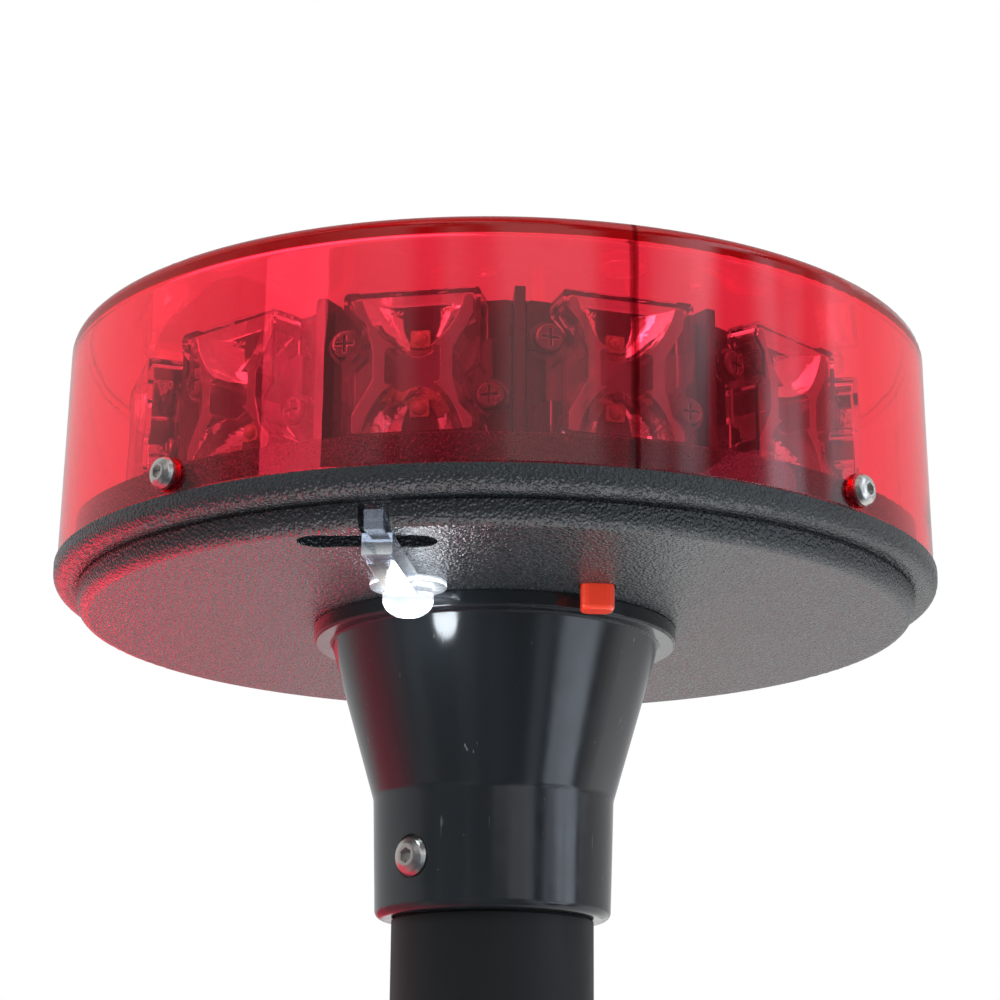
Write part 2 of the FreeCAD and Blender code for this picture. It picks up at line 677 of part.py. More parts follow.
# ---- collar -------------------------------------------------------------------------------
COLLAR_BORE_TOP_Z = TUBE_TOP_Z + 0.2
TUBE_SHOULDER_Z = SLEEVE_FOOT_Z - 0.2
COLLAR_ORING_R = 32.6
ORING_SECTION_R = 0.8
CLAMP_HEAD_R = 3.7
CLAMP_SEAT_R = 22.0


def collar():
    cone = lathe([
        (CONE_TOP_R - 4, DISH_Z), (COLLAR_FLANGE_R, DISH_Z, 0.2), (COLLAR_FLANGE_R, FLANGE_Z, 0.5),
        (CONE_TOP_R, FLANGE_Z, 0.4), (SLEEVE_R, CONE_FOOT_Z, 4.0), (SLEEVE_FOOT_R, SLEEVE_FOOT_Z, 1.6),
        (TUBE_SEAT_R + RUNNING, SLEEVE_FOOT_Z, 0.4), (TUBE_SEAT_R + RUNNING, COLLAR_BORE_TOP_Z),
        (TUBE_BORE_R, COLLAR_BORE_TOP_Z), (TUBE_BORE_R, CONE_FOOT_Z), (CONE_TOP_R - 4, FLANGE_Z)])
    bosses = []
    for azimuth in FLANGE_SCREW_AZIMUTHS:
        foot = polar(FLANGE_SCREW_R, azimuth)
        bosses.append(cylinder(3.6, -21, DISH_Z, foot.x, foot.y))
    inside = lathe([(0, DISH_Z), (CONE_TOP_R - 1, DISH_Z), (CONE_TOP_R - 1, FLANGE_Z),
                    (SLEEVE_R - 1, CONE_FOOT_Z), (0, CONE_FOOT_Z)])
    body = union([cone] + [boss.common(inside) for boss in bosses])
    for azimuth in FLANGE_SCREW_AZIMUTHS:
        foot = polar(FLANGE_SCREW_R, azimuth)
        body = body.cut(cylinder(2.0, -20, DISH_Z + 1, foot.x, foot.y))
    spot = forward_cylinder(CLAMP_HEAD_R + 0.3, CLAMP_SEAT_R, SLEEVE_R + 5, z=CLAMP_SCREW_Z)
    hole = forward_cylinder(2.15, 10, SLEEVE_R + 5, z=CLAMP_SCREW_Z)
    for azimuth in CLAMP_SCREW_AZIMUTHS:
        body = body.cut(turned(spot, azimuth)).cut(turned(hole, azimuth))
    groove = ring(COLLAR_ORING_R + ORING_SECTION_R, COLLAR_ORING_R - ORING_SECTION_R,
                  DISH_Z - 2 * ORING_SECTION_R, DISH_Z + 1)
    return body.cut(groove).removeSplitter()


def collar_oring():
    return Part.makeTorus(COLLAR_ORING_R, ORING_SECTION_R, Vector(0, 0, DISH_Z - ORING_SECTION_R))


def flange_screws():
    screw = pan_screw(4.0, 11.0, 3.6, 2.4)
    return group(moved(screw, p.x, p.y, FLOOR_Z) for p in
                 (polar(FLANGE_SCREW_R, a) for a in FLANGE_SCREW_AZIMUTHS))


def clamp_screws():
    screw = facing_out(button_screw(4.0, 12.0, CLAMP_HEAD_R, 1.9, 2.5), CLAMP_SEAT_R, CLAMP_SCREW_Z)
    return group(turned(screw, a) for a in CLAMP_SCREW_AZIMUTHS)


# ---- handle -------------------------------------------------------------------------------
def handle_tube():
    tube = lathe([(TUBE_BORE_R, TUBE_FOOT_Z, 0.3), (TUBE_R, TUBE_FOOT_Z, 0.3),
                  (TUBE_R, TUBE_SHOULDER_Z, 0.2), (TUBE_SEAT_R, TUBE_SHOULDER_Z),
                  (TUBE_SEAT_R, TUBE_TOP_Z, 0.3), (TUBE_BORE_R, TUBE_TOP_Z, 0.3)])
    hole = forward_cylinder(2.15, 10, 30, z=CLAMP_SCREW_Z)
    for azimuth in CLAMP_SCREW_AZIMUTHS:
        tube = tube.cut(turned(hole, azimuth))
    return tube


def contact_plug():
    """The moulded plug that closes the tube's top and takes the clamp screws' threads."""
    plug = cylinder(TUBE_BORE_R - RUNNING, PLUG_FOOT_Z, TUBE_TOP_Z)
    plug = plug.cut(cylinder(3.0, PLUG_FOOT_Z + 6, TUBE_TOP_Z + 1))
    plug = plug.cut(cylinder(1.3, PLUG_FOOT_Z - 1, TUBE_TOP_Z))
    plug = plug.cut(cylinder(1.1, PLUG_FOOT_Z - 1, TUBE_TOP_Z + 1, 10, 0))
    hole = forward_cylinder(2.0, 8, 30, z=CLAMP_SCREW_Z)
    for azimuth in CLAMP_SCREW_AZIMUTHS:
        plug = plug.cut(turned(hole, azimuth))
    return plug


def top_contact():
    disc = cylinder(6.0, PLUG_FOOT_Z - CONTACT_THICK, PLUG_FOOT_Z)
    rivet = cylinder(1.25, PLUG_FOOT_Z, PLUG_FOOT_Z + 7)
    return union([disc, rivet])


def supply_wires():
    """Two insulated leads from the plug, up through the collar, to the control board."""
    top = BOARD_Z + BOARD_THICK
    positive = [Vector(0, 0, PLUG_FOOT_Z + 7), Vector(0, 0, -24), Vector(0, 5, -12),
                Vector(0, 5, top + 5), Vector(0, 12, top + 5), Vector(0, 12, top)]
    negative = [Vector(10, 0, PLUG_FOOT_Z + 2), Vector(10, 0, -30), Vector(0, -5, -14),
                Vector(0, -5, top + 5), Vector(0, -12, top + 5), Vector(0, -12, top)]
    return group([bent_wire(positive, 2.0, 0.9), bent_wire(negative, 2.0, 0.9)])


def battery_cells():
    cell = lathe([(0, 0), (CELL_R - 1, 0, 0.3), (CELL_R, 0.8, 0.4), (CELL_R, 58.6, 0.4),
                  (CELL_R - 1.2, 59.6, 0.4), (4.6, 59.6, 0.3), (4.6, CELL_LENGTH, 0.5),
                  (0, CELL_LENGTH)])
    return group(moved(cell, z=CELL_FOOT_Z + i * CELL_LENGTH) for i in range(CELL_COUNT))


CAP_GRIP_R = 18.9
CAP_NECK_R = TUBE_BORE_R - RUNNING
CAP_NECK_TOP_Z = TUBE_FOOT_Z + CAP_NECK
CAP_CUP_R = 14.0
CAP_CUP_Z = CAP_NECK_TOP_Z - 10.0
CAP_ORING_Z = TUBE_FOOT_Z + 2.0


def battery_spring():
    """A cone of wire standing in the end cap's cup and pressing the cells upwards."""
    wire_r, tip_r, foot_r = 0.7, 5.5, 12.5
    foot = CAP_CUP_Z + wire_r
    rise = CELL_FOOT_Z - wire_r - foot
    flare = math.degrees(math.atan((foot_r - tip_r) / rise))
    coil = wound_wire(wire_r, tip_r, rise, 4.5, flare)
    coil.rotate(Vector(0, 0, rise / 2), RIGHT, 180)
    return moved(coil, z=foot)


def end_cap():
    body = lathe([
        (0, CAP_FOOT_Z), (CAP_GRIP_R, CAP_FOOT_Z, 1.6), (CAP_GRIP_R, TUBE_FOOT_Z, 0.4),
        (CAP_NECK_R, TUBE_FOOT_Z), (CAP_NECK_R, CAP_ORING_Z - 1.0), (CAP_NECK_R - 1.5, CAP_ORING_Z - 1.0),
        (CAP_NECK_R - 1.5, CAP_ORING_Z + 1.0), (CAP_NECK_R, CAP_ORING_Z + 1.0),
        (CAP_NECK_R, CAP_NECK_TOP_Z, 0.6), (CAP_CUP_R, CAP_NECK_TOP_Z, 0.4), (CAP_CUP_R, CAP_CUP_Z),
        (0, CAP_CUP_Z)])
    flute_count = 30
    flute = cylinder(1.1, CAP_FOOT_Z + 2.6, TUBE_FOOT_Z - 1.6, 0, -CAP_GRIP_R - 0.5)
    for i in range(flute_count):
        body = body.cut(turned(flute, i * 360 / flute_count))
    coin_slot = block(-11, 11, -1.2, 1.2, CAP_FOOT_Z - 1, CAP_FOOT_Z + 1.6)
    return body.cut(coin_slot).removeSplitter()


def end_cap_oring():
    section = 0.72
    return Part.makeTorus(CAP_NECK_R - section + 0.02, section, Vector(0, 0, CAP_ORING_Z))


# ---- export -------------------------------------------------------------------------------
PIECES = {
    "lens_dome": lens_dome,
    "lens_gasket": lens_gasket,
    "lens_screws": lens_screws,
    "base_pan": base_pan,
    "module_carrier": module_carrier,
    "module_boards": lambda: group(at_modules(module_board())),
    "reflectors": lambda: group(at_modules(reflector())),
    "led_emitters": lambda: group(s for one in led_emitters() for s in at_modules(one)),
    "module_covers": lambda: group(at_modules(module_cover())),
    "module_screws": module_screws,
    "module_wires": module_wires,
    "carrier_screws": carrier_screws,
    "control_board": control_board,
    "board_screws": board_screws,
    "driver_chips": driver_chips,
    "power_inductor": power_inductor,
    "capacitors": capacitors,
    "tactile_switch": tactile_switch,
    "button_cap": button_cap,
    "button_spring": button_spring,
    "downlight_led": downlight_led,
    "downlight_lens": downlight_lens,
    "light_guide": light_guide,
    "collar": collar,
    "collar_oring": collar_oring,
    "flange_screws": flange_screws,
    "clamp_screws": clamp_screws,
    "handle_tube": handle_tube,
    "contact_plug": contact_plug,
    "top_contact": top_contact,
    "supply_wires": supply_wires,
    "battery_cells": battery_cells,
    "battery_spring": battery_spring,
    "end_cap": end_cap,
    "end_cap_oring": end_cap_oring,
}


def export(name, build):
    shape = build()
    shape.translate(Vector(0, 0, -CAP_FOOT_Z))
    assert shape.isValid() and shape.Solids, name
    shape.exportStep("parts/" + name + ".step")
    box = shape.BoundBox
    print(f"{name:16s} solids {len(shape.Solids):3d}  z {box.ZMin:8.2f} to {box.ZMax:8.2f}")


os.makedirs("parts", exist_ok=True)
for piece_name, piece_builder in PIECES.items():
    export(piece_name, piece_builder)
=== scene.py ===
import json
import math

import bpy
from mathutils import Matrix, Vector

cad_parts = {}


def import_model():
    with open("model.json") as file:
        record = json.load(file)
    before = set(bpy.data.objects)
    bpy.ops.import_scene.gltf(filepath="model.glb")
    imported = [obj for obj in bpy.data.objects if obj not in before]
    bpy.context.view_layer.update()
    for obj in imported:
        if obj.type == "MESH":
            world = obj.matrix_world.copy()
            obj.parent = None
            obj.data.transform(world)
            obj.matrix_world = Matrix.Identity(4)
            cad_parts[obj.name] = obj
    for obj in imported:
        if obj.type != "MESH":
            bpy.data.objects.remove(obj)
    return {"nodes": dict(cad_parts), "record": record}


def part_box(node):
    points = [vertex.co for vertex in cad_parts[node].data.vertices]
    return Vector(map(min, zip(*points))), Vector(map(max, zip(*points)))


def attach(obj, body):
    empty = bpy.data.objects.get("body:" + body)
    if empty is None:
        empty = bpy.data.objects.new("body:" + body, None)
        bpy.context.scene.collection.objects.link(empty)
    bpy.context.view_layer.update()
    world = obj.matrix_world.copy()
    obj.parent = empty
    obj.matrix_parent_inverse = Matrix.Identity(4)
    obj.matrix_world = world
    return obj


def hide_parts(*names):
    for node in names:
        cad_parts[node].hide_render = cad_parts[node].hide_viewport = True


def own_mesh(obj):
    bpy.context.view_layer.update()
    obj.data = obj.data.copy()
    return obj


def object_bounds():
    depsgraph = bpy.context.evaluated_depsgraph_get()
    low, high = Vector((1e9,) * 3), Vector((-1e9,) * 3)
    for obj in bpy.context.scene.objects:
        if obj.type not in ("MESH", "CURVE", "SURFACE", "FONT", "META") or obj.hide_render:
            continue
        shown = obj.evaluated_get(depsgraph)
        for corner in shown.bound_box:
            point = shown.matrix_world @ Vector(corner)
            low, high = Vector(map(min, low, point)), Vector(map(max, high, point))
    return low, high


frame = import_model()
cad_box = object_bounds()

MM = 0.001
NODES = frame["nodes"]
SLOT_OF = {part["node"]: part["material_slot"] for part in frame["record"]["subparts"]}
PARTING_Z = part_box("lens_dome")[0].z       # where the red lens meets the base pan
DISH_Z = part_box("collar")[1].z             # the flat underside of the base pan
LAMP = (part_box("downlight_led")[0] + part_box("downlight_led")[1]) / 2
HEAD_TOP_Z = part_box("lens_dome")[1].z


# ---- node graphs --------------------------------------------------------------------------
class Net:
    """A material's node graph, in metres of the row frame."""

    def __init__(self, name):
        self.material = bpy.data.materials.new(name)
        self.material.use_nodes = True
        self.tree = self.material.node_tree
        self.tree.nodes.clear()
        self.place = self.add("ShaderNodeTexCoord").outputs["Object"]

    def add(self, kind, inputs=None, **settings):
        node = self.tree.nodes.new(kind)
        for key, value in settings.items():
            setattr(node, key, value)
        for key, value in (inputs or {}).items():
            self.plug(node.inputs[key], value)
        return node

    def plug(self, socket, value):
        if isinstance(value, bpy.types.NodeSocket):
            self.tree.links.new(value, socket)
        else:
            socket.default_value = value

    def math(self, operation, a, b=0.0, clamp=False):
        node = self.add("ShaderNodeMath", {0: a, 1: b}, operation=operation, use_clamp=clamp)
        return node.outputs[0]

    def remap(self, value, low, high, to_low=0.0, to_high=1.0):
        node = self.add("ShaderNodeMapRange", {"Value": value, "From Min": low, "From Max": high,
                                               "To Min": to_low, "To Max": to_high})
        return node.outputs[0]

    def mix(self, factor, a, b):
        node = self.add("ShaderNodeMix", {"Factor": factor}, data_type="RGBA")
        self.plug(node.inputs[6], a)
        self.plug(node.inputs[7], b)
        return node.outputs[2]

    def noise(self, size, detail=3.0, place=None, stretch=None):
        """Noise whose features are about size metres across, as a value from 0 to 1."""
        place = place or self.place
        if stretch:
            place = self.add("ShaderNodeMapping", {"Vector": place, "Scale": stretch}).outputs[0]
        node = self.add("ShaderNodeTexNoise", {"Vector": place, "Scale": 1 / size, "Detail": detail})
        return node.outputs["Fac"]

    def cells(self, size, feature="SMOOTH_F1"):
        node = self.add("ShaderNodeTexVoronoi", {"Vector": self.place, "Scale": 1 / size},
                        feature=feature)
        return node.outputs["Distance"]

    def bump(self, height, depth, strength=1.0, normal=None):
        inputs = {"Height": height, "Distance": depth, "Strength": strength}
        if normal:
            inputs["Normal"] = normal
        return self.add("ShaderNodeBump", inputs).outputs[0]

    def split(self, vector=None):
        return self.add("ShaderNodeSeparateXYZ", {0: vector or self.place}).outputs

    def edges(self, radius):
        """(rounded normal, how close this point is to an edge from 0 to 1)."""
        rounded = self.add("ShaderNodeBevel", {"Radius": radius}, samples=4).outputs[0]
        flat = self.add("ShaderNodeNewGeometry").outputs["True Normal"]
        alike = self.add("ShaderNodeVectorMath", {0: rounded, 1: flat}, operation="DOT_PRODUCT")
        return rounded, self.remap(alike.outputs["Value"], 0.985, 0.85)

    def end(self, shader, volume=None):
        output = self.add("ShaderNodeOutputMaterial", {"Surface": shader})
        if volume:
            self.plug(output.inputs["Volume"], volume)
        return self.material


def solid(name, colour, roughness=0.4, metallic=0.0, tint=0.1, spread=0.08, grain=0.3 * MM,
          depth=0.01 * MM, worn=None, wear=0.15 * MM, specular=0.5, coat=0.0, extra=None):
    """Any opaque finish: colour drift, uneven roughness, fine grain and worn edges."""
    net = Net(name)
    drift = net.noise(18 * MM)
    smear = net.noise(5 * MM, detail=5.0, stretch=(1, 1, 0.35))
    darker = [c * (1 - tint) for c in colour] + [1]
    lighter = [min(1, c * (1 + tint)) for c in colour] + [1]
    base = net.mix(drift, darker, lighter)
    rounded, edge = net.edges(wear)
    rubbed = net.math("MULTIPLY", edge, net.remap(net.noise(2.5 * MM), 0.35, 0.65, 0.2, 1.0))
    if worn:
        base = net.mix(rubbed, base, list(worn) + [1])
    rough = net.remap(smear, 0.25, 0.75, roughness - spread, roughness + spread)
    normal = net.bump(net.noise(grain, detail=2.0), depth, normal=rounded)
    shader = net.add("ShaderNodeBsdfPrincipled", {
        "Base Color": base, "Roughness": rough, "Metallic": metallic, "Normal": normal,
        "Specular IOR Level": specular, "Coat Weight": coat})
    if extra:
        for key, value in extra.items():
            net.plug(shader.inputs[key], value)
    return net.end(shader.outputs[0])


# ---- the finishes -------------------------------------------------------------------------
LENS_IOR = 1.49
LENS_THROUGH = (0.99, 0.235, 0.32)          # what a 2.6 mm wall of the red plastic lets through
LENS_WALL = 2.6 * MM
SEAM_AZIMUTH = 12.8                        # a weld line in the lens, degrees from the front
SEAM_HALF_WIDTH = 0.42                     # degrees
SEAM_INNER_R = 79 * MM                     # the weld line stays in the drum's wall


def see_through(net, glass, tint=(1, 1, 1, 1)):
    """Bent for what is seen, straight for the light that falls in."""
    path = net.add("ShaderNodeLightPath").outputs
    straight = net.math("MAXIMUM", path["Is Shadow Ray"], path["Is Diffuse Ray"])
    clear = net.add("ShaderNodeBsdfTransparent", {"Color": tint})
    return net.add("ShaderNodeMixShader", {0: straight, 1: glass, 2: clear.outputs[0]}).outputs[0]


def red_lens():
    """Clear red plastic that is deeper where a ray has farther to go through it."""
    net = Net("red_lens")
    x, y = net.split()[:2]
    azimuth = net.math("ARCTAN2", x, net.math("MULTIPLY", y, -1.0))
    sway = net.math("MULTIPLY", net.math("SUBTRACT", net.noise(9 * MM), 0.5), math.radians(0.6))
    off = net.math("ABSOLUTE", net.math("SUBTRACT", net.math("ADD", azimuth, sway),
                                        math.radians(SEAM_AZIMUTH)))
    seam = net.remap(off, math.radians(SEAM_HALF_WIDTH), math.radians(SEAM_HALF_WIDTH * 0.4))
    radius = net.add("ShaderNodeVectorMath", {0: net.place, 1: (1, 1, 0)}, operation="MULTIPLY")
    radius = net.add("ShaderNodeVectorMath", {0: radius.outputs[0]}, operation="LENGTH")
    seam = net.math("MULTIPLY", seam, net.remap(radius.outputs["Value"], SEAM_INNER_R,
                                                  SEAM_INNER_R + 1 * MM))
    scuffs = net.remap(net.noise(3 * MM, detail=6.0, stretch=(1, 1, 0.2)), 0.5, 0.75, 0.0, 0.05)
    ripple = net.bump(net.noise(14 * MM, detail=1.0), 0.04 * MM)
    tint = net.mix(seam, (1, 1, 1, 1), (0.42, 0.2, 0.25, 1))
    glass = net.add("ShaderNodeBsdfGlass", {"Color": tint, "Roughness": scuffs, "IOR": LENS_IOR,
                                            "Normal": ripple})
    milk = net.add("ShaderNodeBsdfTranslucent", {"Color": (1.0, 0.32, 0.42, 1)})
    haze = net.add("ShaderNodeMixShader", {0: 0.045, 1: glass.outputs[0], 2: milk.outputs[0]})
    strength = -math.log(LENS_THROUGH[1]) / LENS_WALL
    kept = [1 + math.log(part) / (strength * LENS_WALL) for part in LENS_THROUGH]
    depth = net.add("ShaderNodeVolumeAbsorption", {"Color": kept + [1], "Density": strength})
    return net.end(see_through(net, haze.outputs[0], tint), depth.outputs[0])


def clear_cover(name, tint=(0.97, 0.975, 0.98, 1), roughness=0.02):
    """Polished clear plastic, seen mostly by what it bends and mirrors."""
    net = Net(name)
    ripple = net.bump(net.noise(6 * MM, detail=2.0), 0.06 * MM)
    rough = net.remap(net.noise(2 * MM, detail=5.0), 0.4, 0.8, roughness * 0.3, roughness * 2)
    glass = net.add("ShaderNodeBsdfGlass", {"Color": tint, "Roughness": rough, "IOR": LENS_IOR,
                                            "Normal": ripple})
    return net.end(see_through(net, glass.outputs[0], tint))


def glow_by_distance(net, near, far):
    """1 at the downlight and 0 from far metres away."""
    away = net.add("ShaderNodeVectorMath", {0: net.place, 1: tuple(LAMP)}, operation="DISTANCE")
    return net.remap(away.outputs["Value"], near, far, 1.0, 0.0)


def lit_lens():
    """The clear dome over the white lamp, flooded with its light."""
    net = Net("lit_lens")
    glow = net.math("POWER", glow_by_distance(net, 3 * MM, 11 * MM), 2.0)
    speckle = net.remap(net.noise(0.8 * MM), 0.3, 0.7, 0.8, 1.2)
    strength = net.math("MULTIPLY", net.math("MULTIPLY", glow, speckle), 4.0)
    light = net.add("ShaderNodeEmission", {"Color": (0.86, 0.93, 1.0, 1), "Strength": strength})
    glass = net.add("ShaderNodeBsdfPrincipled", {
        "Base Color": (0.9, 0.94, 1, 1),
        "Roughness": net.remap(net.noise(1.5 * MM), 0.3, 0.7, 0.03, 0.15),
        "Transmission Weight": 0.96, "IOR": LENS_IOR})
    both = net.add("ShaderNodeAddShader", {0: light.outputs[0], 1: glass.outputs[0]})
    return net.end(both.outputs[0])


def guide_plastic():
    """The clear bar beside the lamp: pale, with a painted glow from its inner end standing in for
    the downlight's light, brighter and warmer on its down-facing faces.
    """
    net = Net("guide_plastic")
    normal = net.add("ShaderNodeNewGeometry").outputs["Normal"]
    # painted glow: emission stands in for the downlight's light in the bar, stronger and warmer on
    # its down-facing faces and dimmer and bluish elsewhere
    painted_glow_down = net.remap(net.split(normal)[2], -0.4, -0.9)
    glow = net.math("POWER", glow_by_distance(net, 5 * MM, 30 * MM), 1.6)
    flicker = net.remap(net.noise(1.6 * MM, stretch=(1, 1, 0.4)), 0.3, 0.7, 0.7, 1.25)
    strength = net.math("MULTIPLY", net.math("MULTIPLY", glow, flicker),
                        net.remap(painted_glow_down, 0.0, 1.0, 0.25, 1.6))
    colour = net.mix(painted_glow_down, (0.62, 0.72, 0.95, 1), (1.0, 0.98, 0.86, 1))
    light = net.add("ShaderNodeEmission", {"Color": colour, "Strength": strength})
    rounded, _ = net.edges(0.3 * MM)
    glass = net.add("ShaderNodeBsdfPrincipled", {
        "Base Color": (0.5, 0.56, 0.66, 1), "Roughness": net.remap(flicker, 0.7, 1.25, 0.04, 0.14),
        "Transmission Weight": 0.85, "IOR": LENS_IOR, "Normal": rounded})
    both = net.add("ShaderNodeAddShader", {0: light.outputs[0], 1: glass.outputs[0]})
    return net.end(both.outputs[0])


def grained_black():
    """Black ABS from a spark-eroded mould: small flat pebbles with shallow valleys between."""
    net = Net("grained_black")
    pebbles = net.remap(net.cells(0.55 * MM), 0.15, 0.55, 1.0, 0.0)
    fine = net.noise(0.3 * MM, detail=2.0)
    height = net.math("ADD", net.math("MULTIPLY", pebbles, 0.7), net.math("MULTIPLY", fine, 0.5))
    drift = net.noise(25 * MM)
    base = net.mix(drift, (0.006, 0.008, 0.009, 1), (0.012, 0.015, 0.017, 1))
    rounded, edge = net.edges(0.25 * MM)
    base = net.mix(net.math("MULTIPLY", edge, 0.35), base, (0.09, 0.095, 0.1, 1))
    rough = net.remap(fine, 0.3, 0.7, 0.18, 0.32)
    normal = net.bump(height, 0.30 * MM, 1.0, normal=rounded)
    shader = net.add("ShaderNodeBsdfPrincipled", {
        "Base Color": base, "Roughness": rough, "Normal": normal, "Specular IOR Level": 0.5})
    return net.end(shader.outputs[0])


def moulded_black():
    """The collar's polished black, with a few short scuffs and dust specks."""
    net = Net("moulded_black")
    scratch = net.noise(0.9 * MM, detail=2.0, stretch=(1, 1, 0.08))
    patch = net.noise(11 * MM, detail=2.0)
    scuff = net.math("MULTIPLY", net.remap(scratch, 0.66, 0.72), net.remap(patch, 0.6, 0.7))
    dust = net.remap(net.cells(2.4 * MM, "F1"), 0.055, 0.035)
    dust = net.math("MULTIPLY", dust, net.remap(net.noise(7 * MM), 0.5, 0.6))
    marks = net.math("MAXIMUM", scuff, dust)
    base = net.mix(marks, (0.010, 0.012, 0.014, 1), (0.16, 0.17, 0.18, 1))
    rounded, edge = net.edges(0.3 * MM)
    base = net.mix(net.math("MULTIPLY", edge, 0.25), base, (0.06, 0.065, 0.07, 1))
    rough = net.math("ADD", net.remap(net.noise(6 * MM, detail=5.0), 0.3, 0.7, 0.10, 0.19),
                     net.math("MULTIPLY", marks, 0.3))
    orange_peel = net.bump(net.noise(4 * MM, detail=1.0), 0.02 * MM, normal=rounded)
    shader = net.add("ShaderNodeBsdfPrincipled", {
        "Base Color": base, "Roughness": rough, "Normal": orange_peel})
    return net.end(shader.outputs[0])


REFLECTOR_FRONT = 70 * MM                  # from the handle axis to the reflectors' flat front


def chrome():
    """Vacuum-metallised plastic, slightly wavy; its flat front faces are darker, and upright faces
    set back from the front are black.
    """
    net = Net("chrome")
    waves = net.noise(3.0 * MM, detail=2.0)
    fine = net.noise(0.7 * MM, detail=2.0)
    height = net.math("ADD", waves, net.math("MULTIPLY", fine, 0.15))
    tarnish = net.remap(net.noise(5 * MM, detail=4.0), 0.55, 0.75)
    rounded, _ = net.edges(0.3 * MM)
    flat = net.add("ShaderNodeNewGeometry").outputs["True Normal"]
    level = net.remap(net.math("ABSOLUTE", net.split(flat)[2]), 0.03, 0.01)
    outwards = net.add("ShaderNodeVectorMath", {0: net.place, 1: flat},
                       operation="DOT_PRODUCT").outputs["Value"]
    rim = net.math("MULTIPLY", level, net.remap(outwards, REFLECTOR_FRONT - 0.4 * MM,
                                                REFLECTOR_FRONT - 0.1 * MM))
    silver = net.mix(tarnish, (0.93, 0.93, 0.93, 1), (0.72, 0.70, 0.68, 1))
    metal = net.add("ShaderNodeBsdfPrincipled", {
        "Base Color": net.mix(rim, silver, (0.34, 0.34, 0.34, 1)),
        "Metallic": 1.0, "Roughness": net.remap(tarnish, 0, 1, 0.05, 0.16),
        "Normal": net.bump(height, 0.2 * MM, normal=rounded)})
    black = net.add("ShaderNodeBsdfPrincipled", {
        "Base Color": (0.02, 0.02, 0.02, 1), "Roughness": net.remap(fine, 0.3, 0.7, 0.3, 0.45),
        "Normal": net.bump(fine, 0.02 * MM, normal=rounded)})
    sunk = net.remap(outwards, REFLECTOR_FRONT - 1.5 * MM, REFLECTOR_FRONT - 2.5 * MM)
    front = net.math("MULTIPLY", level, net.math("MULTIPLY", sunk, 0.85))
    shader = net.add("ShaderNodeMixShader", {0: front, 1: metal.outputs[0], 2: black.outputs[0]})
    return net.end(shader.outputs[0])


def emitter():
    """A yellow phosphor dome on a white package."""
    net = Net("emitter")
    spots = net.noise(0.6 * MM)
    base = net.mix(spots, (0.30, 0.24, 0.12, 1), (0.42, 0.37, 0.24, 1))
    shader = net.add("ShaderNodeBsdfPrincipled", {
        "Base Color": base, "Roughness": net.remap(spots, 0.3, 0.7, 0.15, 0.35),
        "Coat Weight": 0.5})
    return net.end(shader.outputs[0])


def circuit(name, mask, trace):
    """Solder mask with the copper showing through as a faint pattern of lines."""
    net = Net(name)
    grid = net.add("ShaderNodeTexBrick", {
        "Vector": net.place, "Scale": 1.0, "Mortar Size": 0.2 * MM, "Brick Width": 2.6 * MM,
        "Row Height": 1.3 * MM, "Color1": (0, 0, 0, 1), "Color2": (0.2, 0.2, 0.2, 1),
        "Mortar": (1, 1, 1, 1)})
    lines = net.math("MULTIPLY", grid.outputs["Fac"], net.remap(net.noise(9 * MM), 0.45, 0.55))
    base = net.mix(lines, list(mask) + [1], list(trace) + [1])
    shader = net.add("ShaderNodeBsdfPrincipled", {
        "Base Color": base, "Roughness": net.remap(net.noise(4 * MM), 0.3, 0.7, 0.25, 0.4),
        "Normal": net.bump(lines, 0.03 * MM)})
    return net.end(shader.outputs[0])


